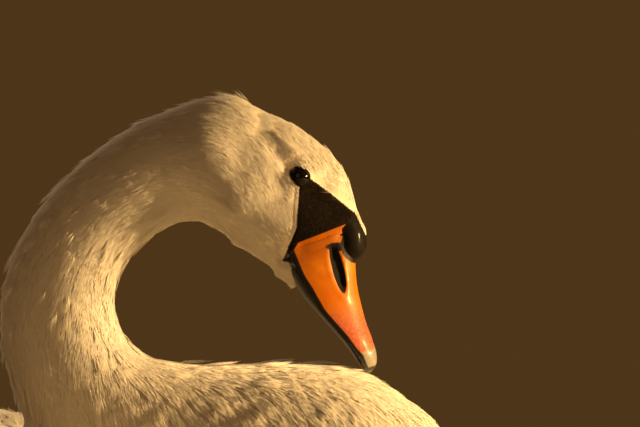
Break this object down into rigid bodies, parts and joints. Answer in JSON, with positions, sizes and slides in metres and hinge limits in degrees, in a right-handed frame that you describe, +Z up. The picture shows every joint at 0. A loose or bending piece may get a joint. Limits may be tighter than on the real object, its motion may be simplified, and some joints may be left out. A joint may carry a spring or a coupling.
{
  "type": "mute swan",
  "caption": "Life-size still model of a mute swan sitting on its belly, neck folded back in a curve and bill held down at the breast.",
  "frame": {"origin": "on the floor under the middle of the whole bird's box", "axes": "+X the way the bird faces, along its longest extent; +Y its left side; +Z up"},
  "size_m": [0.82, 0.3442, 0.5014],
  "materials": {
    "plumage": "soft cream-white feathers",
    "orange_bill": "smooth orange horn, satin, reddening towards the tip",
    "black_bill": "black fleshy skin, fine-pored and glossy",
    "bill_nail": "grey-buff horn",
    "eye": "wet, very dark brown",
    "leg_skin": "scaled grey-black skin",
    "claw": "black horn"
  },
  "bodies": {
    "root": {"bill_knob": "black_bill", "bill_lower": "black_bill", "bill_nail": "bill_nail", "bill_upper": "orange_bill", "claw_L_inner": "claw", "claw_L_middle": "claw", "claw_L_outer": "claw", "claw_R_inner": "claw", "claw_R_middle": "claw", "claw_R_outer": "claw", "eye_L": "eye", "eye_R": "eye", "foot_L": "leg_skin", "foot_R": "leg_skin", "head": "plumage", "leg_L": "leg_skin", "leg_R": "leg_skin", "neck_lower": "plumage", "neck_middle": "plumage", "neck_upper": "plumage", "tail": "plumage", "trunk": "plumage", "wing_L_arm": "plumage", "wing_L_primaries": "plumage", "wing_L_secondaries": "plumage", "wing_L_tertials": "plumage", "wing_R_arm": "plumage", "wing_R_primaries": "plumage", "wing_R_secondaries": "plumage", "wing_R_tertials": "plumage"}
  },
  "joints": []
}
